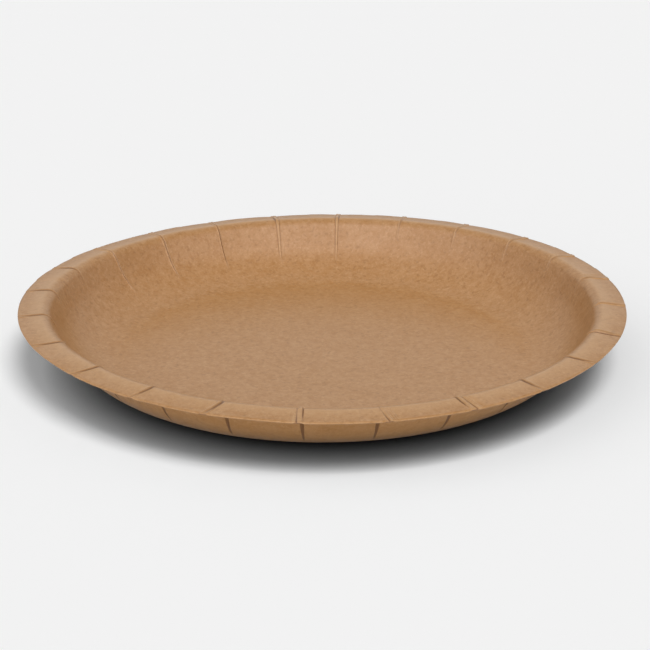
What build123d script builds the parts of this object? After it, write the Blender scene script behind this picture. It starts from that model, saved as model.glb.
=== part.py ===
from build123d import *
from math import cos, radians, sin, tan
import os

# A pressed paper plate: one round blank of kraft board, bent up into a wall and over into a rim.
# The blank is larger round than the rim it is pressed to, so the spare board lies in pleats.
# The origin is the centre of the underside of the base, and +Z is up. Sizes are in millimetres.

# The pressed shape, measured on the upper face of the board
plate_diameter = 230.0
plate_height = 23.0
board_thickness = 0.5
wall_angle = 65.0
base_bend_radius = 25.0
crest_bend_radius = 4.5
rim_width = 8.3
rim_droop_angle = 14.0

# The pleats: a fold that stands up on the upper face, with a groove behind it on the underside
pleat_count = 24
first_pleat_angle = -93.9
fold_width = 2.2
fold_height = 0.25
fold_length = 29.0
groove_width = 1.6
groove_depth = 0.25
groove_length = 24.0

# How far the shapes that cut the pleats reach past the board
cutter_margin = 1.0

# The rest of the plate's line, worked out from its base to its crest
edge_radius = plate_diameter / 2
crest_radius = edge_radius - rim_width
rim_bend_radius = rim_width / sin(radians(rim_droop_angle))
bends_radius = base_bend_radius + crest_bend_radius
bends_rise = bends_radius * (1 - cos(radians(wall_angle)))
bends_run = bends_radius * sin(radians(wall_angle))
wall_rise = plate_height - board_thickness - bends_rise
wall_run = wall_rise / tan(radians(wall_angle))
wall_length = wall_rise / sin(radians(wall_angle))
base_radius = crest_radius - bends_run - wall_run

# One panel of the plate has one pleat, along its middle
panel_angle = 360 / pleat_count


def board_line(lift):
    """Draws the plate's line from its axis to its cut edge, lift above the board's upper face."""
    base = Line((0, board_thickness + lift), (base_radius, board_thickness + lift))
    base_bend = JernArc(base @ 1, base % 1, base_bend_radius - lift, wall_angle)
    wall = Line(base_bend @ 1, base_bend @ 1 + (base_bend % 1) * wall_length)
    crest = JernArc(wall @ 1, wall % 1, crest_bend_radius + lift, -wall_angle)
    rim = JernArc(crest @ 1, crest % 1, rim_bend_radius + lift, -rim_droop_angle)
    return base @ 0, rim @ 1


def turn_layer(lowest, highest):
    """Turns the layer between two lifts about the plate's axis, through one panel."""
    with BuildSketch(Plane.XZ) as section:
        with BuildLine():
            low_start, low_end = board_line(lowest)
            high_start, high_end = board_line(highest)
            Line(low_start, high_start)
            Line(low_end, high_end)
        make_face()
    revolve(section.sketch, axis=Axis.Z, revolution_arc=panel_angle)


def keep_wedge(width, length):
    """Keeps the part of a layer in a wedge along the panel's middle, from a point to the cut edge."""
    tip_radius = edge_radius - length
    wedge_end = length + cutter_margin
    half_width = width / 2 * wedge_end / length
    middle = Plane.XY.offset(-cutter_margin).rotated((0, 0, panel_angle / 2))
    with BuildSketch(middle) as wedge:
        with Locations((tip_radius, 0)):
            Polygon((0, 0), (wedge_end, -half_width), (wedge_end, half_width), align=None)
    extrude(wedge.sketch, amount=plate_height + fold_height + 2 * cutter_margin, mode=Mode.INTERSECT)


# The fold, from the middle of the board to its top
with BuildPart() as fold:
    turn_layer(-board_thickness / 2, fold_height)
    keep_wedge(fold_width, fold_length)

# The space behind the fold, from below the board to the bottom of the groove
with BuildPart() as groove:
    turn_layer(-board_thickness - cutter_margin, groove_depth - board_thickness)
    keep_wedge(groove_width, groove_length)

# One panel of the board with its pleat
with BuildPart() as panel:
    turn_layer(-board_thickness, 0)
    add(fold.part)
    add(groove.part, mode=Mode.SUBTRACT)

# The whole plate, which is one piece of board
with BuildPart() as plate:
    with PolarLocations(0, pleat_count, start_angle=first_pleat_angle - panel_angle / 2):
        add(panel.part)

plate.part.label = "plate"
os.makedirs("parts", exist_ok=True)
export_step(plate.part, "parts/plate.step")
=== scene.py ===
from math import cos, pi, radians, sin
from typing import NamedTuple

import bpy
from bpy.props import FloatProperty, FloatVectorProperty, IntProperty, PointerProperty
from mathutils import Matrix, Vector


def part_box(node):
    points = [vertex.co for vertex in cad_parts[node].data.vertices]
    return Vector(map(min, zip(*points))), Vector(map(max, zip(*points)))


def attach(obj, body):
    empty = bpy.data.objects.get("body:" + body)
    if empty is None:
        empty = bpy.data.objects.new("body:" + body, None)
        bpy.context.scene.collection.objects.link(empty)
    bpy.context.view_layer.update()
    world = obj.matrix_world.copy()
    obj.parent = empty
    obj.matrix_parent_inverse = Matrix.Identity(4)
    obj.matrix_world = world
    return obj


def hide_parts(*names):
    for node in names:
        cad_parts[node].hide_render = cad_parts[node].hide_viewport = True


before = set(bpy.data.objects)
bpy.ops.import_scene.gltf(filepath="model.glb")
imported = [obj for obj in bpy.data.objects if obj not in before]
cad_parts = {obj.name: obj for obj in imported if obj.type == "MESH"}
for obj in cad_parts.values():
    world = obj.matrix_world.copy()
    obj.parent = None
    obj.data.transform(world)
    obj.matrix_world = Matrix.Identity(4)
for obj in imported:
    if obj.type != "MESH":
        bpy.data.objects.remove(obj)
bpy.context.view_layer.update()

bl_info = {
    "name": "Kraft paper plate",
    "version": (1, 0, 0),
    "blender": (4, 5, 0),
    "location": "3D View > Sidebar > Paper plate",
    "description": "Makes a pressed kraft paper plate with a pleated rim, and a plain stage for it",
    "category": "Mesh",
}

# Lengths are in metres, angles in radians and colours in linear values.
MM = 0.001
PLATE_NODE = "plate"
PLATE_BODY = "root"

# The plate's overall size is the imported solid's. The folds stand a little above the board.
node_low, node_high = (Vector(corner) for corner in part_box(PLATE_NODE))
FOLD_HEIGHT = 0.25 * MM


class Crease(NamedTuple):
    """A crease along a pleat. Its places and its half width are in half fold widths, and its
    places count towards the viewer. Its depths are shares of the crease depth."""

    at_crest: float
    at_edge: float
    width: float
    wall_depth: float
    crest_depth: float
    edge_depth: float


class Pleat(NamedTuple):
    """One kind of pleat: its creases on the near and the far side, and as shares of the whole how
    high its fold is raised, how far it reaches down the wall and how much it is wrinkled."""

    near: Crease
    far: Crease
    raised: float
    reach: float
    wrinkled: float


NO_CREASE = Crease(0.0, 0.0, 0.5, 0.0, 0.0, 0.0)
BAND = Pleat(
    near=Crease(1.1, 1.0, 0.36, 0.3, 1.0, 0.05),
    far=Crease(-1.1, -0.5, 0.36, 0.3, 0.5, 1.0),
    raised=1.0,
    reach=0.2,
    wrinkled=0.3,
)
TORN = Pleat(
    near=Crease(1.1, 0.9, 0.4, 0.2, 1.0, 0.0),
    far=Crease(-1.1, -0.9, 0.5, 0.0, 0.7, 1.0),
    raised=0.9,
    reach=0.2,
    wrinkled=1.0,
)
HOOK = Pleat(
    near=Crease(0.9, -0.1, 0.4, 0.0, 0.4, 1.0),
    far=NO_CREASE,
    raised=0.5,
    reach=0.2,
    wrinkled=0.8,
)
LAP = Pleat(
    near=Crease(0.7, 0.0, 0.95, 0.5, 1.0, 0.35),
    far=NO_CREASE,
    raised=0.7,
    reach=0.3,
    wrinkled=0.0,
)
TWIN = Pleat(
    near=Crease(1.4, 1.0, 0.7, 0.1, 1.0, 0.7),
    far=Crease(-1.0, -0.1, 0.7, 0.0, 1.0, 0.3),
    raised=0.8,
    reach=0.2,
    wrinkled=0.0,
)
FAINT = Pleat(
    near=Crease(0.3, 0.1, 0.7, 0.2, 0.8, 0.4),
    far=NO_CREASE,
    raised=1.0,
    reach=0.1,
    wrinkled=0.0,
)
CRUMPLED = Pleat(
    near=Crease(0.6, -0.3, 0.8, 0.6, 0.5, 0.15),
    far=Crease(-0.9, -0.6, 0.5, 0.2, 0.1, 0.1),
    raised=1.3,
    reach=0.2,
    wrinkled=0.6,
)
PRESSED = Pleat(
    near=Crease(1.0, 0.5, 0.6, 0.25, 1.0, 0.2),
    far=Crease(-1.1, -0.5, 0.5, 0.3, 0.6, 0.0),
    raised=1.2,
    reach=0.9,
    wrinkled=0.0,
)
LINE = Pleat(
    near=Crease(-0.3, 0.1, 0.5, 0.8, 0.6, 0.3),
    far=NO_CREASE,
    raised=0.7,
    reach=1.0,
    wrinkled=0.0,
)

# The pleats, counter-clockwise from the front. Each has its kind, how far it lies from its even
# place, and how far it leans from the edge to the crest, both in degrees.
PLEATS = (
    (BAND, 0.0, 0.0),
    (HOOK, -0.6, -0.4),
    (TORN, -1.0, -0.5),
    (LAP, -1.4, -0.3),
    (LAP, -0.5, -1.0),
    (TWIN, -0.8, -0.5),
    (FAINT, 0.4, -0.4),
    (CRUMPLED, 0.8, 0.0),
    (CRUMPLED, 0.9, -0.3),
    (CRUMPLED, 0.4, 0.0),
    (CRUMPLED, 0.8, -0.4),
    (CRUMPLED, 0.4, -0.4),
    (PRESSED, 0.4, 0.0),
    (PRESSED, 0.0, 0.0),
    (LINE, -0.5, 0.6),
    (LINE, -0.8, 0.8),
    (LINE, -0.5, 0.8),
    (LAP, -1.0, 0.0),
    (LAP, -1.4, 0.3),
    (LAP, -1.6, 0.8),
    (LAP, -0.6, 1.4),
    (LAP, 0.6, 1.0),
    (LAP, 0.4, 1.0),
    (LAP, -0.6, 1.4),
)


class PlateSizes(bpy.types.PropertyGroup):
    """The pressed shape, measured on the board's upper face."""

    diameter: FloatProperty(
        name="Diameter", description="Across the cut edge", unit="LENGTH", default=node_high.x - node_low.x
    )
    height: FloatProperty(
        name="Height",
        description="From the table to the crest of the rim",
        unit="LENGTH",
        default=node_high.z - node_low.z - FOLD_HEIGHT,
    )
    board: FloatProperty(
        name="Board", description="Thickness of the board", unit="LENGTH", default=0.5 * MM
    )
    wall_angle: FloatProperty(
        name="Wall angle", description="Slope of the wall from level", unit="ROTATION", default=radians(65)
    )
    base_bend: FloatProperty(
        name="Base bend", description="Radius between base and wall", unit="LENGTH", default=25 * MM
    )
    crest_bend: FloatProperty(
        name="Crest bend", description="Radius between wall and rim", unit="LENGTH", default=4.5 * MM
    )
    rim_width: FloatProperty(
        name="Rim width", description="From the crest to the cut edge", unit="LENGTH", default=8.3 * MM
    )
    rim_slope: FloatProperty(
        name="Rim slope", description="Fall of the rim outwards", unit="ROTATION", default=radians(5)
    )
    rim_droop: FloatProperty(
        name="Rim droop", description="Further drop at the cut edge", unit="LENGTH", default=0.35 * MM
    )
    warp: FloatProperty(
        name="Warp",
        description="How far the rim bends up and down, twice round",
        unit="LENGTH",
        default=0.45 * MM,
    )
    oval: FloatProperty(
        name="Oval",
        description="How far the rim is out of round, in three lobes",
        unit="LENGTH",
        default=0.9 * MM,
    )
    warp_angle: FloatProperty(
        name="Warp angle",
        description="Where the rim is highest and widest",
        unit="ROTATION",
        default=radians(35),
    )


class PleatSizes(bpy.types.PropertyGroup):
    """The pleats that take up the spare board of the round blank."""

    first_angle: FloatProperty(
        name="First pleat",
        description="Where the first pleat lies",
        unit="ROTATION",
        default=radians(-93.9),
    )
    width: FloatProperty(
        name="Fold width", description="Of each fold at the cut edge", unit="LENGTH", default=2.2 * MM
    )
    height: FloatProperty(
        name="Fold height",
        description="Of a whole fold above the board",
        unit="LENGTH",
        default=FOLD_HEIGHT,
    )
    length: FloatProperty(
        name="Fold length", description="In plan, from the cut edge inwards", unit="LENGTH", default=23 * MM
    )
    crease: FloatProperty(
        name="Crease depth", description="Of the crease beside a fold", unit="LENGTH", default=0.36 * MM
    )
    groove: FloatProperty(
        name="Groove depth", description="Of the groove on the underside", unit="LENGTH", default=0.12 * MM
    )
    edge_dip: FloatProperty(
        name="Edge dip", description="How far the rim sags at each pleat", unit="LENGTH", default=0.12 * MM
    )
    panel_tilt: FloatProperty(
        name="Panel tilt",
        description="How far panels stand off the round",
        unit="LENGTH",
        default=0.15 * MM,
    )
    seed: IntProperty(name="Seed", description="Which set of uneven pleats is made", default=3)


class BoardLook(bpy.types.PropertyGroup):
    """The finish of uncoated kraft board, with the colours of its painted highlight and painted shade."""

    dark_patch: FloatVectorProperty(
        name="Dark patches",
        description="Where the board is darker",
        subtype="COLOR",
        default=(0.352, 0.164, 0.0455),
    )
    light_patch: FloatVectorProperty(
        name="Pale patches",
        description="Where the board is paler",
        subtype="COLOR",
        default=(0.455, 0.249, 0.1085),
    )
    deep_colour: FloatVectorProperty(
        name="Dark fibres",
        description="Colour of the darkest fibres",
        subtype="COLOR",
        default=(0.28, 0.13, 0.038),
    )
    # Pale fibres, worn board and the cut edge, and also the painted highlight on folds, lips and crest
    pale_fibre_and_highlight: FloatVectorProperty(
        name="Pale fibres and highlight",
        description="Colour of folds, lips, crest and cut edge",
        subtype="COLOR",
        default=(0.56, 0.34, 0.17),
    )
    # The outer face is warmer, and painted paler to make up for the light it lacks
    outer_tint_and_painted_light: FloatVectorProperty(
        name="Outer face",
        description="Warmer colour of the outer face",
        subtype="COLOR",
        default=(0.56, 0.25, 0.06),
    )
    # Painted shade deep in the creases
    crease_shade_colour: FloatVectorProperty(
        name="Creases",
        description="Colour deep in the creases",
        subtype="COLOR",
        default=(0.14, 0.055, 0.014),
    )
    # Painted shade in the grooves of the folded board outside
    groove_shade_colour: FloatVectorProperty(
        name="Grooves",
        description="Colour of the folded board outside",
        subtype="COLOR",
        default=(0.16, 0.06, 0.012),
    )
    gloss: FloatProperty(
        name="Gloss",
        description="Strength of the pressed face's sheen",
        subtype="FACTOR",
        default=0.4,
        min=0,
        max=1,
    )
    roughness: FloatProperty(
        name="Roughness", description="Of the pressed face", subtype="FACTOR", default=0.34, min=0, max=1
    )


class StageLook(bpy.types.PropertyGroup):
    """The floor, the light and the camera."""

    backdrop: FloatProperty(
        name="Backdrop",
        description="Brightness of the floor away from the plate",
        subtype="FACTOR",
        default=0.877,
    )
    shadow_depth: FloatProperty(
        name="Shadow depth", description="How much closeness darkens the shadow", min=0, default=0.9
    )
    shadow_reach: FloatProperty(
        name="Shadow reach",
        description="How close the plate is where it darkens the shadow",
        unit="LENGTH",
        default=14 * MM,
    )
    sky: FloatProperty(name="Sky", description="Strength of the light from all round", min=0, default=0.27)
    window: FloatProperty(
        name="Window",
        description="Strength of each pane of the window that only shines",
        min=0,
        default=1.2,
    )
    window_height: FloatProperty(
        name="Window height",
        description="Of the window above the table",
        unit="ROTATION",
        default=radians(28),
    )
    window_turn: FloatProperty(
        name="Window turn",
        description="Between one pane and the next",
        unit="ROTATION",
        default=radians(45),
    )
    window_size: FloatProperty(
        name="Window size", description="How wide each pane looks", unit="ROTATION", default=radians(60)
    )
    key: FloatProperty(name="Key", description="Strength of the soft lamp above", min=0, default=1.85)
    key_height: FloatProperty(
        name="Key height",
        description="Of the soft lamp above the table",
        unit="ROTATION",
        default=radians(60),
    )
    key_turn: FloatProperty(
        name="Key turn",
        description="Of the soft lamp, from the front to the right",
        unit="ROTATION",
        default=radians(24),
    )
    key_size: FloatProperty(
        name="Key size", description="How wide the soft lamp looks", unit="ROTATION", default=radians(28)
    )
    fill: FloatProperty(name="Fill", description="Strength of the low lamp in front", min=0, default=0.95)
    fill_height: FloatProperty(
        name="Fill height",
        description="Of the low lamp above the table",
        unit="ROTATION",
        default=radians(30),
    )
    fill_turn: FloatProperty(
        name="Fill turn",
        description="Of the low lamp, from the front to the right",
        unit="ROTATION",
        default=radians(-48),
    )
    fill_size: FloatProperty(
        name="Fill size", description="How wide the low lamp looks", unit="ROTATION", default=radians(110)
    )
    camera_distance: FloatProperty(
        name="Camera distance", description="From the plate's foot", unit="LENGTH", default=632.8 * MM
    )
    camera_height: FloatProperty(
        name="Camera height", description="Angle above the table", unit="ROTATION", default=radians(21.47)
    )
    camera_tilt: FloatProperty(
        name="Camera tilt",
        description="How far the view looks down",
        unit="ROTATION",
        default=radians(20.49),
    )
    camera_turn: FloatProperty(
        name="Camera turn",
        description="How far the view turns left",
        unit="ROTATION",
        default=radians(-0.08),
    )
    camera_roll: FloatProperty(
        name="Camera roll", description="Turn about the view", unit="ROTATION", default=radians(-0.09)
    )
    lens: FloatProperty(name="Lens", description="On a 36 mm sensor", unit="CAMERA", default=90.59)


class Number:
    """A number in a node tree: plain arithmetic on it adds Math nodes."""

    def __init__(self, socket):
        self.socket = socket

    def __add__(self, other):
        return calculate("ADD", self, other)

    __radd__ = __add__

    def __sub__(self, other):
        return calculate("SUBTRACT", self, other)

    def __rsub__(self, other):
        return calculate("SUBTRACT", other, self)

    def __mul__(self, other):
        return calculate("MULTIPLY", self, other)

    __rmul__ = __mul__

    def __truediv__(self, other):
        return calculate("DIVIDE", self, other)

    def __rtruediv__(self, other):
        return calculate("DIVIDE", other, self)

    def __neg__(self):
        return self * -1


def plug(value, socket):
    """Links a socket or a Number to an input, or sets the input to a plain value."""
    if isinstance(value, Number):
        value = value.socket
    if isinstance(value, bpy.types.NodeSocket):
        socket.id_data.links.new(value, socket)
    else:
        socket.default_value = value


def add_node(tree, kind, inputs=None, **settings):
    """Adds a node with its settings, and plugs its inputs by name or by place."""
    node = tree.nodes.new(kind)
    for name, value in settings.items():
        setattr(node, name, value)
    for place, value in (inputs or {}).items():
        plug(value, node.inputs[place])
    return node


def calculate(operation, *values):
    """Adds a Math node that works on the values, of which at least one is a Number."""
    tree = next(value.socket.id_data for value in values if isinstance(value, Number))
    node = add_node(tree, "ShaderNodeMath", dict(enumerate(values)), operation=operation)
    return Number(node.outputs[0])


def ramp(value, start, end, low=0.0, high=1.0, smooth=True):
    """Goes from low to high while the value goes from start to end, and is level outside."""
    inputs = {"Value": value, "From Min": start, "From Max": end, "To Min": low, "To Max": high}
    kind = "SMOOTHSTEP" if smooth else "LINEAR"
    node = add_node(value.socket.id_data, "ShaderNodeMapRange", inputs, interpolation_type=kind, clamp=True)
    return Number(node.outputs["Result"])


def choose(tree, data_type, index, values):
    """Adds an Index Switch that gives the value for each index."""
    node = add_node(tree, "GeometryNodeIndexSwitch", data_type=data_type)
    while len(node.index_switch_items) < len(values):
        node.index_switch_items.new()
    plug(index, node.inputs["Index"])
    for place, value in enumerate(values):
        plug(value, node.inputs[place + 1])
    return node.outputs[0]


def make_vector(tree, x=0.0, y=0.0, z=0.0):
    """Adds a vector made of three numbers."""
    return add_node(tree, "ShaderNodeCombineXYZ", {0: x, 1: y, 2: z}).outputs[0]


def split_vector(vector):
    """Gives a vector's three numbers."""
    node = add_node(vector.id_data, "ShaderNodeSeparateXYZ", {0: vector})
    return [Number(output) for output in node.outputs]


def group_inputs(tree, sizes):
    """Gives a tree one named input for each size, and a dictionary of them as Numbers."""
    for name in sizes:
        whole = isinstance(sizes[name], int)
        kind = "NodeSocketInt" if whole else "NodeSocketFloat"
        tree.interface.new_socket(name=name, in_out="INPUT", socket_type=kind)
    node = add_node(tree, "NodeGroupInput")
    return {name: Number(node.outputs[name]) for name in sizes}


# The grid that the plate is made from. Its rows follow the board's line, and its columns go round.
# Stations are shares of the way from the axis to the bend, or from the crest to the cut edge.
BASE_STATION = 0.6
RIM_STATIONS = (0.3, 0.55, 0.75, 0.9)
BASE_BEND_STEPS = 14
CREST_BEND_STEPS = 10
EDGE_ROWS = 3

# Half a panel's columns, from its pleat outwards. A step between wrinkle columns is in radians.
FOLD_COLUMNS = 10
FOLD_EDGE_COLUMN = 8
WRINKLE_COLUMNS = 12
WRINKLE_STEP = 0.0017
OPEN_COLUMNS = 6
HALF_PANEL_COLUMNS = FOLD_COLUMNS + WRINKLE_COLUMNS + OPEN_COLUMNS
PANEL_COLUMNS = 2 * HALF_PANEL_COLUMNS
HALF_PANEL = pi / len(PLEATS)

# Zones on the wall side of the crest, as shares of the rim's width
OFF_WALL_ZONE = 1 / 3
WEAR_AND_HIGHLIGHT_ZONE = 1 / 4
DROOP_ZONE = 1 / 2

# The folds. Places along them are shares of their length, from their tip on the wall outwards.
# Places across them are in half fold widths.
TIP_WIDTH = 0.35
UNEVEN_WIDTH = 0.15
SHORT_FOLD_RISE = (0.42, 0.62)
LONG_FOLD_RISE = (0.0, 0.25)
FOLD_FOOT = 1.15
FOLD_TOP = 0.85

# The creases and their raised lips. The heights are shares of the crease depth, and the zone
# where a crease takes its depth at the edge is in shares of the rim.
EDGE_CREASE_ZONE = (0.3, 0.9)
LIP_PLACE = 0.8
LIP_HALF_WIDTH = 0.5
LIP_HEIGHT = 0.35
WRINKLE_HEIGHT = 0.25
WRINKLE_END = 0.8

# How strongly the raised parts are made pale, by worn board and a painted highlight, and how far out from
# the crest
FOLD_WEAR_AND_HIGHLIGHT = 0.6
WRINKLE_WEAR_AND_HIGHLIGHT = 0.8
CREST_WEAR_AND_HIGHLIGHT = 0.8
CREST_WEAR_AND_HIGHLIGHT_END = 0.75

# The grooves on the underside: their half widths in half fold widths, the share of them that is
# at full depth, and the share of the fold's length over which they start
GROOVE_AT_TIP = 0.75
GROOVE_AT_EDGE = 2.5
WIDEST_GROOVE = 1.5
GROOVE_FLOOR = 0.6
GROOVE_START = 0.1

# The cut edge's bulge as a share of the board, and how far round it its own colour comes in
EDGE_BULGE = 0.2
EDGE_COLOUR_RANGE = (0.1, 0.5)

# The uneven rim: how wide a dip is in half panels, how much dips differ, and where the panels'
# tilt and the warp reach their full size, as shares of the fold's length and of the height
DIP_WIDTH = 0.6
DIP_SPREAD = (0.3, 1.6)
DIP_SEED = 16
TILT_SEED = 15
FULL_TILT = 0.6
FULL_WARP = 0.9
MERGE_DISTANCE = 0.004 * MM


def board_line(tree, size):
    """Draws the board's upper face from the axis to the cut edge, as a curve in the XZ plane."""
    edge = size["Diameter"] / 2
    slope = size["Wall Angle"]
    fall = size["Rim Slope"]
    bend = size["Base Bend"]
    crest = size["Crest Bend"]
    height = size["Height"]
    board = size["Board"]
    rise, run = calculate("SINE", slope), calculate("COSINE", slope)

    # Where the wall's straight line ends above, and from there where it starts below
    wall_top_x = edge - size["Rim Width"] - crest * rise
    wall_top_z = height - crest * (1 - run)
    wall_rise = wall_top_z - board - bend * (1 - run)
    wall_foot_x = wall_top_x - wall_rise / calculate("TANGENT", slope)
    base_x = wall_foot_x - bend * rise
    base_corner = base_x + bend * calculate("TANGENT", slope / 2)
    reach = crest * calculate("TANGENT", (slope + fall) / 2)
    crest_x = wall_top_x + reach * run
    crest_z = wall_top_z + reach * rise
    rim_fall = calculate("TANGENT", fall)

    places = [(0.0, board), (base_x * BASE_STATION, board), (base_corner, board), (crest_x, crest_z)]
    for share in (*RIM_STATIONS, 1.0):
        along = (edge - crest_x) * share
        places.append((crest_x + along, crest_z - along * rim_fall))
    points = [make_vector(tree, x=x, z=z) for x, z in places]
    radii = [0.0, 0.0, bend, crest] + [0.0] * (len(RIM_STATIONS) + 1)
    steps = [1, 1, BASE_BEND_STEPS, CREST_BEND_STEPS] + [1] * (len(RIM_STATIONS) + 1)

    index = add_node(tree, "GeometryNodeInputIndex").outputs[0]
    placed = choose(tree, "VECTOR", index, points)
    cloud = add_node(tree, "GeometryNodePoints", {"Count": len(points), "Position": placed})
    line = add_node(tree, "GeometryNodePointsToCurves", {0: cloud.outputs[0]})
    inputs = {
        "Curve": line.outputs[0],
        "Count": choose(tree, "INT", index, steps),
        "Radius": choose(tree, "FLOAT", index, radii),
        "Limit Radius": False,
    }
    return add_node(tree, "GeometryNodeFilletCurve", inputs, mode="POLY").outputs[0]


def sample(tree, curve, value, index):
    """Reads a vector of the curve at the point with an index."""
    inputs = {0: curve, 1: value, 2: index}
    return add_node(
        tree, "GeometryNodeSampleIndex", inputs, data_type="FLOAT_VECTOR", domain="POINT"
    ).outputs[0]


def random_number(tree, low, high, identity, seed):
    """Gives each identity its own fixed number."""
    node = add_node(tree, "FunctionNodeRandomValue", data_type="FLOAT")
    sockets = {socket.identifier: socket for socket in node.inputs}
    plug(low, sockets["Min_001"])
    plug(high, sockets["Max_001"])
    plug(identity, sockets["ID"])
    plug(seed, sockets["Seed"])
    return Number(node.outputs[1])


def name_attribute(tree, geometry, name, value):
    """Keeps a number on every point of the geometry under a name."""
    inputs = {"Geometry": geometry, "Name": name, "Value": value}
    return add_node(
        tree, "GeometryNodeStoreNamedAttribute", inputs, data_type="FLOAT", domain="POINT"
    ).outputs[0]


def blend(share, low, high):
    """Goes from low to high with the share."""
    return low + (high - low) * share


def bump(place, half_width):
    """A smooth ridge of height 1 at place 0."""
    return ramp(calculate("ABSOLUTE", place), half_width, 0)


class Course(NamedTuple):
    """Where a row of the grid runs along the board, from the axis to the cut edge."""

    x: Number
    z: Number
    tangent_x: Number
    tangent_z: Number
    along_fold: Number
    off_wall: Number
    on_rim: Number
    wear_and_highlight: Number
    leaning: Number
    drooping: Number
    warping: Number


def follow_board(tree, size, line, line_row):
    """Reads where a row runs on the board's line, and what happens to the board there."""
    position = add_node(tree, "GeometryNodeInputPosition").outputs[0]
    tangent = add_node(tree, "GeometryNodeInputTangent").outputs[0]
    x, _, z = split_vector(sample(tree, line, position, line_row.socket))
    tangent_x, _, tangent_z = split_vector(sample(tree, line, tangent, line_row.socket))
    edge = size["Diameter"] / 2
    crest = edge - size["Rim Width"]
    on_rim = ramp(x, crest, edge, smooth=False)
    # Worn pale board and a painted highlight along the crest
    wear_and_highlight = ramp(x, crest - size["Rim Width"] * WEAR_AND_HIGHLIGHT_ZONE, crest) * CREST_WEAR_AND_HIGHLIGHT
    return Course(
        x=x,
        z=z,
        tangent_x=tangent_x,
        tangent_z=tangent_z,
        along_fold=ramp(x, edge - size["Fold Length"], edge, smooth=False),
        off_wall=ramp(x, crest - size["Rim Width"] * OFF_WALL_ZONE, crest),
        on_rim=on_rim,
        wear_and_highlight=wear_and_highlight * ramp(on_rim, CREST_WEAR_AND_HIGHLIGHT_END, 0),
        leaning=ramp(x, edge, crest, smooth=False) * ramp(x, crest - size["Fold Length"], crest),
        drooping=ramp(x, crest - size["Rim Width"] * DROOP_ZONE, edge),
        warping=ramp(z, size["Board"], size["Height"] * FULL_WARP),
    )


class Column(NamedTuple):
    """Where a column of the grid stands in its panel, which has its pleat in the middle."""

    pleat: Number
    facing: Number
    out: Number
    turn: Number
    angle: Number


def of_pleat(pleat, values):
    """Gives each pleat its own value."""
    return Number(choose(pleat.socket.id_data, "FLOAT", pleat.socket, values))


def stand_in_panel(tree, size, column, course):
    """Turns a column to its place. Columns crowd together at the pleat and at its wrinkles."""
    panel = calculate("FLOOR", column / PANEL_COLUMNS)
    pleat = calculate("MODULO", panel, len(PLEATS))
    across = column - panel * PANEL_COLUMNS - HALF_PANEL_COLUMNS
    out = calculate("ABSOLUTE", across)

    seed = size["Seed"].socket
    uneven = random_number(tree, 1 - UNEVEN_WIDTH, 1 + UNEVEN_WIDTH, pleat.socket, seed)
    half_fold = size["Fold Width"] / size["Diameter"] * uneven * blend(course.along_fold, TIP_WIDTH, 1)
    fold_span = half_fold * (FOLD_COLUMNS / FOLD_EDGE_COLUMN)
    wrinkle_span = WRINKLE_COLUMNS * WRINKLE_STEP
    open_span = HALF_PANEL - wrinkle_span - fold_span
    in_fold = ramp(out, 0, FOLD_COLUMNS, smooth=False)
    in_wrinkles = ramp(out, FOLD_COLUMNS, FOLD_COLUMNS + WRINKLE_COLUMNS, smooth=False)
    in_open = ramp(out, FOLD_COLUMNS + WRINKLE_COLUMNS, HALF_PANEL_COLUMNS, smooth=False)
    away = in_fold * fold_span + in_wrinkles * wrinkle_span + in_open * open_span
    turn = calculate("SIGN", across) * away

    # The pleat stands off its even place and leans, and takes the columns near it along
    shift = of_pleat(pleat, [radians(turn) for kind, turn, lean in PLEATS])
    lean = of_pleat(pleat, [radians(lean) for kind, turn, lean in PLEATS])
    moved = (shift + lean * course.leaning) * (1 - in_open)
    middle = size["First Pleat"] + pleat * (HALF_PANEL * 2)
    towards_viewer = -calculate("SIGN", calculate("COSINE", middle))
    return Column(
        pleat=pleat,
        facing=across * towards_viewer,
        out=out,
        turn=turn,
        angle=size["First Pleat"] + panel * (HALF_PANEL * 2) + turn + moved,
    )


def run_crease(column, course, reached, side_name):
    """Gives the depth of the creases on the pleats' near or far side, and of the lips beside them."""
    creases = [getattr(kind, side_name) for kind, turn, lean in PLEATS]
    at_crest, at_edge, width, wall_depth, crest_depth, edge_depth = (
        of_pleat(column.pleat, values) for values in zip(*creases)
    )
    place = column.facing / FOLD_EDGE_COLUMN - blend(course.on_rim, at_crest, at_edge)
    depth = blend(course.off_wall, wall_depth * reached, crest_depth)
    depth = blend(ramp(course.on_rim, *EDGE_CREASE_ZONE), depth, edge_depth)
    return bump(place, width) * depth, bump(place + LIP_PLACE, LIP_HALF_WIDTH) * depth


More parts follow.
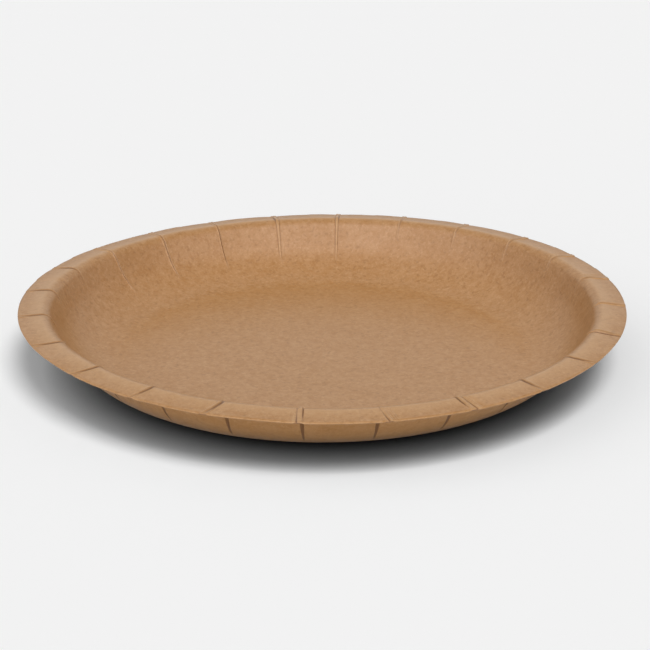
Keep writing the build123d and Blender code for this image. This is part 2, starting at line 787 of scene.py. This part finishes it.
def fold_upper_face(size, column, course):
    """Gives how far the upper face is lifted, how deep it is creased, and how far it is made pale by wear
    and a painted highlight.
    """

    def of_kind(name):
        return of_pleat(column.pleat, [getattr(kind, name) for kind, turn, lean in PLEATS])

    reach = of_kind("reach")
    rise_start, rise_end = (blend(reach, *places) for places in zip(SHORT_FOLD_RISE, LONG_FOLD_RISE))
    reached = ramp(course.along_fold, rise_start, rise_end)
    fold = ramp(column.out / FOLD_EDGE_COLUMN, FOLD_FOOT, FOLD_TOP) * of_kind("raised") * reached

    near_crease, near_lip = run_crease(column, course, reached, "near")
    far_crease, far_lip = run_crease(column, course, reached, "far")
    crease = calculate("MAXIMUM", near_crease, far_crease)
    lip = calculate("MAXIMUM", near_lip, far_lip)

    # Short wrinkles stand in a row on the pleat's far side. Each takes four columns.
    in_wrinkles = ramp(-column.facing, FOLD_COLUMNS, FOLD_COLUMNS + WRINKLE_COLUMNS, smooth=False)
    wrinkles = calculate("SINE", in_wrinkles * (WRINKLE_COLUMNS * pi / 2)) * of_kind("wrinkled")
    wrinkles = wrinkles * course.off_wall * ramp(course.on_rim, 1, WRINKLE_END)

    creased = lip * LIP_HEIGHT + wrinkles * WRINKLE_HEIGHT - crease
    lift = fold * size["Fold Height"] + creased * size["Crease Depth"]
    # Lips, wrinkles and folds are made pale by worn board and a painted highlight
    wear_and_highlight = calculate("MAXIMUM", lip, wrinkles * WRINKLE_WEAR_AND_HIGHLIGHT)
    wear_and_highlight = calculate("MAXIMUM", wear_and_highlight, fold * FOLD_WEAR_AND_HIGHLIGHT)
    return lift, crease, calculate("MAXIMUM", wear_and_highlight, course.wear_and_highlight)


def groove_underside(column, course):
    """Gives how deep the grooves behind the pleats are. They narrow towards their tips."""
    wide = calculate("MINIMUM", blend(course.along_fold, GROOVE_AT_TIP, GROOVE_AT_EDGE), WIDEST_GROOVE)
    across = ramp(column.out / FOLD_EDGE_COLUMN, wide, wide * GROOVE_FLOOR)
    return across * ramp(course.along_fold, 0, GROOVE_START)


def bend_rim(tree, size, column, course):
    """Gives the tilt of the uneven panels, and how far the rim is moved outwards and upwards."""
    from_pleat = calculate("ABSOLUTE", column.turn) / HALF_PANEL
    dip = ramp(from_pleat, DIP_WIDTH, 0) * size["Edge Dip"]
    dip = dip * random_number(tree, *DIP_SPREAD, column.pleat.socket, DIP_SEED)
    drop = (size["Rim Droop"] + dip) * course.drooping
    tilt = random_number(tree, -1, 1, column.pleat.socket, TILT_SEED) * size["Panel Tilt"]
    tilt = tilt * column.turn / HALF_PANEL * ramp(course.along_fold, 0, FULL_TILT)

    # The warp goes up and down twice round, and the rim is wide in three places
    around = column.angle - size["Warp Angle"]
    warp = calculate("COSINE", around * 2) * size["Warp"] * course.warping
    oval = calculate("COSINE", around * 3) * size["Oval"] * course.warping
    return tilt, oval, warp - drop


def plate_tree(sizes):
    """Builds the tree that presses the pleated plate out of a grid."""
    tree = bpy.data.node_groups.new("Pleated plate", "GeometryNodeTree")
    size = group_inputs(tree, sizes)
    tree.interface.new_socket(name="Geometry", in_out="OUTPUT", socket_type="NodeSocketGeometry")
    line = board_line(tree, size)
    line_size = add_node(tree, "GeometryNodeAttributeDomainSize", {0: line}, component="CURVE")
    line_rows = Number(line_size.outputs["Point Count"])
    rows = line_rows * 2 + EDGE_ROWS
    inputs = {"Vertices X": len(PLEATS) * PANEL_COLUMNS + 1, "Vertices Y": rows}
    grid = add_node(tree, "GeometryNodeMeshGrid", inputs)

    # Rows run out along the upper face, round the cut edge and back along the underside
    index = Number(add_node(tree, "GeometryNodeInputIndex").outputs[0])
    column_index = calculate("FLOOR", index / rows)
    row = index - column_index * rows
    under = ramp((row - line_rows + 1) / (EDGE_ROWS + 1), 0, 1, smooth=False)
    line_row = calculate("MINIMUM", calculate("MINIMUM", row, rows - 1 - row), line_rows - 1)
    course = follow_board(tree, size, line, line_row)
    column = stand_in_panel(tree, size, column_index, course)

    upper, crease, wear_and_highlight = fold_upper_face(size, column, course)
    groove = groove_underside(column, course)
    lower = groove * size["Groove Depth"] - size["Board"]
    tilt, outward, upward = bend_rim(tree, size, column, course)
    lift = blend(under, upper, lower) + tilt
    round_edge = calculate("SINE", under * pi)
    radius = course.x - course.tangent_z * lift + round_edge * size["Board"] * EDGE_BULGE + outward
    height = course.z + course.tangent_x * lift + upward
    x, y = (radius * calculate(wave, column.angle) for wave in ("COSINE", "SINE"))
    inputs = {"Geometry": grid.outputs["Mesh"], "Position": make_vector(tree, x, y, height)}
    shaped = add_node(tree, "GeometryNodeSetPosition", inputs).outputs[0]

    # The ridge mask carries worn board with a painted highlight, and the crease and groove masks carry
    # painted shade
    masks = {
        "crease": crease * (1 - under),
        "ridge": wear_and_highlight * (1 - under),
        "underside": under,
        "groove": groove * under,
        "cut_edge": ramp(round_edge, *EDGE_COLOUR_RANGE),
    }
    for name, value in masks.items():
        shaped = name_attribute(tree, shaped, name, value)

    # The seam and the two poles are closed, and the grid's faces are turned outwards
    inputs = {"Geometry": shaped, "Distance": MERGE_DISTANCE}
    closed = add_node(tree, "GeometryNodeMergeByDistance", inputs)
    outward_faces = add_node(tree, "GeometryNodeFlipFaces", {"Mesh": closed.outputs[0]})
    smooth = add_node(tree, "GeometryNodeSetShadeSmooth", {"Geometry": outward_faces.outputs[0]})
    real = add_node(tree, "GeometryNodeRealizeInstances", {"Geometry": smooth.outputs[0]})
    finish = add_node(tree, "GeometryNodeSetMaterial", {"Geometry": real.outputs[0]})
    finish.inputs["Material"].default_value = board_material()
    add_node(tree, "NodeGroupOutput", {"Geometry": finish.outputs[0]})
    return tree


def run_tree(name, tree, sizes):
    """Gives the plain mesh that a geometry tree makes from the sizes."""
    carrier = bpy.data.objects.new(name, bpy.data.meshes.new(name))
    bpy.context.scene.collection.objects.link(carrier)
    modifier = carrier.modifiers.new(name, "NODES")
    modifier.node_group = tree
    for item in tree.interface.items_tree:
        if item.in_out == "INPUT":
            modifier[item.identifier] = sizes[item.name]
    evaluated = carrier.evaluated_get(bpy.context.evaluated_depsgraph_get())
    mesh = bpy.data.meshes.new_from_object(evaluated)
    bpy.data.objects.remove(carrier)
    piece = bpy.data.objects.new(name, mesh)
    bpy.context.scene.collection.objects.link(piece)
    return piece


def noise(tree, place, grain, detail=2.0, roughness=0.5):
    """Adds a noise with grains of about the given size."""
    inputs = {"Vector": place, "Scale": 1 / grain, "Detail": detail, "Roughness": roughness}
    return Number(add_node(tree, "ShaderNodeTexNoise", inputs).outputs["Fac"])


def mix_colour(tree, share, low, high):
    """Mixes two colours by a share."""
    node = add_node(tree, "ShaderNodeMix", data_type="RGBA")
    for identifier, value in (("Factor_Float", share), ("A_Color", low), ("B_Color", high)):
        socket = next(socket for socket in node.inputs if socket.identifier == identifier)
        plug(value, socket)
    return next(socket for socket in node.outputs if socket.identifier == "Result_Color")


# The sizes of the grains in the board
CLOUD_GRAIN = 12 * MM
PATCH_GRAIN = 2.6 * MM
THREAD_GRAIN = 1.1 * MM
SPECK_GRAIN = 1.6 * MM
TOOTH_GRAIN = 0.35 * MM

# How much of each grain shows: the noise's values from which it begins and at which it is full
MOTTLE_RANGE = (0.34, 0.66)
FIBRE_RANGE = (0.5, 0.75)
FLECK_RANGE = (0.52, 0.75)

# The clouds' share in the mottle, the threads' share in the tooth, and how rough the tooth is
CLOUD_SHARE = 0.15
THREAD_SHARE = 0.6
TOOTH_STRENGTH = 0.3
TOOTH_HEIGHT = 0.04 * MM
ROUGHNESS_SPREAD = 0.08


def fibre_group():
    """Builds the node group of pressed wood fibres: its mottle, pale fibres, flecks and tooth."""
    tree = bpy.data.node_groups.new("Kraft fibres", "ShaderNodeTree")
    tree.interface.new_socket(name="Vector", in_out="INPUT", socket_type="NodeSocketVector")
    for name in ("Mottle", "Fibres", "Flecks", "Height"):
        tree.interface.new_socket(name=name, in_out="OUTPUT", socket_type="NodeSocketFloat")
    place = add_node(tree, "NodeGroupInput").outputs["Vector"]
    clouds = noise(tree, place, CLOUD_GRAIN)
    patches = noise(tree, place, PATCH_GRAIN, detail=5.0, roughness=0.8)
    threads = noise(tree, place, THREAD_GRAIN, detail=3.0)
    tooth = noise(tree, place, TOOTH_GRAIN)
    specks = noise(tree, place, SPECK_GRAIN, detail=3.0)
    mottle = clouds * CLOUD_SHARE + patches * (1 - CLOUD_SHARE)
    outputs = {
        "Mottle": ramp(mottle, *MOTTLE_RANGE, smooth=False),
        "Fibres": ramp(threads, *FIBRE_RANGE),
        "Flecks": ramp(specks, *FLECK_RANGE),
        "Height": threads * THREAD_SHARE + tooth * (1 - THREAD_SHARE),
    }
    add_node(tree, "NodeGroupOutput", outputs)
    return tree


def opaque(colour):
    """Gives a colour for a colour socket."""
    return (*colour, 1)


def board_material():
    """Makes the kraft board's material."""
    look = bpy.context.scene.board_look
    material = bpy.data.materials.new("Kraft board")
    material.use_nodes = True
    tree = material.node_tree
    tree.nodes.clear()
    place = add_node(tree, "ShaderNodeTexCoord").outputs["Object"]
    fibres = add_node(tree, "ShaderNodeGroup", node_tree=fibre_group())
    plug(place, fibres.inputs["Vector"])
    mottle, threads, flecks, tooth = (Number(output) for output in fibres.outputs)

    def mask(name):
        return Number(add_node(tree, "ShaderNodeAttribute", attribute_name=name).outputs["Fac"])

    # Each layer covers the ones before it, where it is and as strongly as it says
    colour = mix_colour(tree, mottle, opaque(look.dark_patch), opaque(look.light_patch))
    layers = (
        (threads, 0.35, look.pale_fibre_and_highlight),
        (flecks, 0.6, look.deep_colour),
        # A warmer outer face, painted paler to make up for the light it lacks
        (mask("underside"), 0.3, look.outer_tint_and_painted_light),
        # Worn board and a painted highlight on the raised parts
        (mask("ridge"), 0.5, look.pale_fibre_and_highlight),
        (mask("cut_edge"), 0.15, look.pale_fibre_and_highlight),
        # Painted shade in the creases
        (mask("crease"), 0.95, look.crease_shade_colour),
        # Painted shade in the grooves outside
        (mask("groove"), 0.85, look.groove_shade_colour),
    )
    for cover, strength, tint in layers:
        colour = mix_colour(tree, cover * strength, colour, opaque(tint))

    # The light that the underside throws on the floor is grey, as the shadow is in the photograph
    diffuse = Number(add_node(tree, "ShaderNodeLightPath").outputs["Is Diffuse Ray"])
    grey = sum(look.light_patch) / 3
    colour = mix_colour(tree, diffuse * mask("underside"), colour, opaque([grey] * 3))

    inputs = {"Height": tooth, "Strength": TOOTH_STRENGTH, "Distance": TOOTH_HEIGHT}
    surface = add_node(tree, "ShaderNodeBump", inputs).outputs[0]
    roughness = tooth * ROUGHNESS_SPREAD + (look.roughness - ROUGHNESS_SPREAD / 2)
    inputs = {"Base Color": colour, "Roughness": roughness, "Normal": surface}
    shader = add_node(tree, "ShaderNodeBsdfPrincipled", inputs)
    plug(look.gloss, shader.inputs["Specular IOR Level"])
    add_node(tree, "ShaderNodeOutputMaterial", {"Surface": shader.outputs[0]})
    return material


class MakePlate(bpy.types.Operator):
    """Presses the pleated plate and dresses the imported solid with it."""

    bl_idname = "paper_plate.make_plate"
    bl_label = "Make the plate"

    def execute(self, context):
        plate = context.scene.plate_sizes
        pleats = context.scene.pleat_sizes
        sizes = {
            "Diameter": plate.diameter,
            "Height": plate.height,
            "Board": plate.board,
            "Wall Angle": plate.wall_angle,
            "Base Bend": plate.base_bend,
            "Crest Bend": plate.crest_bend,
            "Rim Width": plate.rim_width,
            "Rim Slope": plate.rim_slope,
            "Rim Droop": plate.rim_droop,
            "Warp": plate.warp,
            "Oval": plate.oval,
            "Warp Angle": plate.warp_angle,
            "First Pleat": pleats.first_angle,
            "Fold Width": pleats.width,
            "Fold Height": pleats.height,
            "Fold Length": pleats.length,
            "Crease Depth": pleats.crease,
            "Groove Depth": pleats.groove,
            "Edge Dip": pleats.edge_dip,
            "Panel Tilt": pleats.panel_tilt,
            "Seed": pleats.seed,
        }
        piece = run_tree("pleated_plate", plate_tree(sizes), sizes)
        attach(piece, PLATE_BODY)
        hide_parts(PLATE_NODE)
        return {"FINISHED"}


def add_camera(look):
    """Places the camera in front of the plate, a little above it."""
    data = bpy.data.cameras.new("Camera")
    data.lens = look.lens
    data.sensor_width = 36
    data.clip_start = 0.01
    camera = bpy.data.objects.new("Camera", data)
    turn = Matrix.Rotation(look.camera_turn, 4, "Z") @ Matrix.Rotation(pi / 2 - look.camera_tilt, 4, "X")
    turn = turn @ Matrix.Rotation(look.camera_roll, 4, "Z")
    forward = -look.camera_distance * cos(look.camera_height)
    upward = look.camera_distance * sin(look.camera_height)
    camera.matrix_world = Matrix.Translation((0, forward, upward)) @ turn
    bpy.context.scene.collection.objects.link(camera)
    bpy.context.scene.camera = camera


def add_lamp(name, strength, height, turn, size):
    """Hangs a soft lamp far away, turned from the front of the plate to its right."""
    data = bpy.data.lights.new(name, "SUN")
    data.energy = strength
    data.angle = size
    lamp = bpy.data.objects.new(name, data)
    lamp.matrix_world = Matrix.Rotation(turn, 4, "Z") @ Matrix.Rotation(pi / 2 - height, 4, "X")
    bpy.context.scene.collection.objects.link(lamp)
    return lamp


def floor_material(look):
    """Makes a white floor, whose shadow is deepest where the plate is close above it."""
    material = bpy.data.materials.new("White floor")
    material.use_nodes = True
    tree = material.node_tree
    tree.nodes.clear()
    level = look.sky + sum(
        strength * sin(height) / pi
        for strength, height in ((look.key, look.key_height), (look.fill, look.fill_height))
    )
    white = min(look.backdrop / level, 1.0)
    inputs = {"Distance": look.shadow_reach}
    seen = add_node(tree, "ShaderNodeAmbientOcclusion", inputs, samples=16).outputs["AO"]
    open_share = calculate("POWER", Number(seen), look.shadow_depth)
    camera = Number(add_node(tree, "ShaderNodeLightPath").outputs["Is Camera Ray"])
    brightness = white * (1 - camera + camera * open_share)
    shader = add_node(
        tree,
        "ShaderNodeBsdfPrincipled",
        {"Base Color": make_vector(tree, brightness, brightness, brightness), "Roughness": 1.0},
    )
    shader.inputs["Specular IOR Level"].default_value = 0
    add_node(tree, "ShaderNodeOutputMaterial", {"Surface": shader.outputs[0]})
    return material


# What the plate mirrors is dark at the first height and bright from the second, both as sines
MIRROR_DARK = -0.1
MIRROR_BRIGHT = 0.3


def light_world(look):
    """Gives an even light from all round, and the backdrop to the camera and to what mirrors it."""
    world = bpy.data.worlds.new("Studio")
    bpy.context.scene.world = world
    world.use_nodes = True
    tree = world.node_tree
    tree.nodes.clear()
    path = add_node(tree, "ShaderNodeLightPath")
    camera, glossy = Number(path.outputs["Is Camera Ray"]), Number(path.outputs["Is Glossy Ray"])
    _, _, z = split_vector(add_node(tree, "ShaderNodeTexCoord").outputs["Generated"])
    mirrored = ramp(z, MIRROR_DARK, MIRROR_BRIGHT) * look.backdrop
    strength = camera * look.backdrop + glossy * mirrored + (1 - camera - glossy) * look.sky
    light = add_node(tree, "ShaderNodeBackground", {"Color": (1, 1, 1, 1), "Strength": strength})
    add_node(tree, "ShaderNodeOutputWorld", {"Surface": light.outputs[0]})


# The floor is a square that reaches this far from the plate
HALF_FLOOR = 6.0


class MakeStage(bpy.types.Operator):
    """Lays the floor, hangs the lamps and places the camera."""

    bl_idname = "paper_plate.make_stage"
    bl_label = "Make the stage"

    def execute(self, context):
        look = context.scene.stage_look
        signs = ((-1, -1), (1, -1), (1, 1), (-1, 1))
        corners = [(x * HALF_FLOOR, y * HALF_FLOOR, 0) for x, y in signs]
        mesh = bpy.data.meshes.new("floor")
        mesh.from_pydata(corners, [], [(0, 1, 2, 3)])
        mesh.materials.append(floor_material(look))
        floor = bpy.data.objects.new("floor", mesh)
        context.scene.collection.objects.link(floor)
        light_world(look)
        key = add_lamp("Key lamp", look.key, look.key_height, look.key_turn, look.key_size)
        key.visible_glossy = False
        add_lamp("Fill lamp", look.fill, look.fill_height, look.fill_turn, look.fill_size)
        for pane in (-1, 0, 1):
            turn = look.window_turn * pane
            shine = add_lamp("Window pane", look.window, look.window_height, turn, look.window_size)
            shine.visible_diffuse = False
        add_camera(look)
        context.scene.view_settings.view_transform = "Standard"
        return {"FINISHED"}


class PaperPlatePanel(bpy.types.Panel):
    """Lists the plate's sizes, its finish and the two operators."""

    bl_idname = "VIEW3D_PT_paper_plate"
    bl_label = "Paper plate"
    bl_space_type = "VIEW_3D"
    bl_region_type = "UI"
    bl_category = "Paper plate"

    def draw(self, context):
        for group in SETTINGS:
            box = self.layout.box()
            settings = getattr(context.scene, group)
            for name in settings.__annotations__:
                box.prop(settings, name)
        for operator in OPERATORS:
            self.layout.operator(operator.bl_idname)


SETTINGS = {
    "plate_sizes": PlateSizes,
    "pleat_sizes": PleatSizes,
    "board_look": BoardLook,
    "stage_look": StageLook,
}
OPERATORS = (MakePlate, MakeStage)
CLASSES = (*SETTINGS.values(), *OPERATORS, PaperPlatePanel)


def register():
    for each in CLASSES:
        bpy.utils.register_class(each)
    for name, group in SETTINGS.items():
        setattr(bpy.types.Scene, name, PointerProperty(type=group))


def unregister():
    for name in SETTINGS:
        delattr(bpy.types.Scene, name)
    for each in reversed(CLASSES):
        bpy.utils.unregister_class(each)


def main():
    """Makes the plate and its stage."""
    register()
    bpy.ops.paper_plate.make_plate()
    bpy.ops.paper_plate.make_stage()


if __name__ == "__main__":
    main()
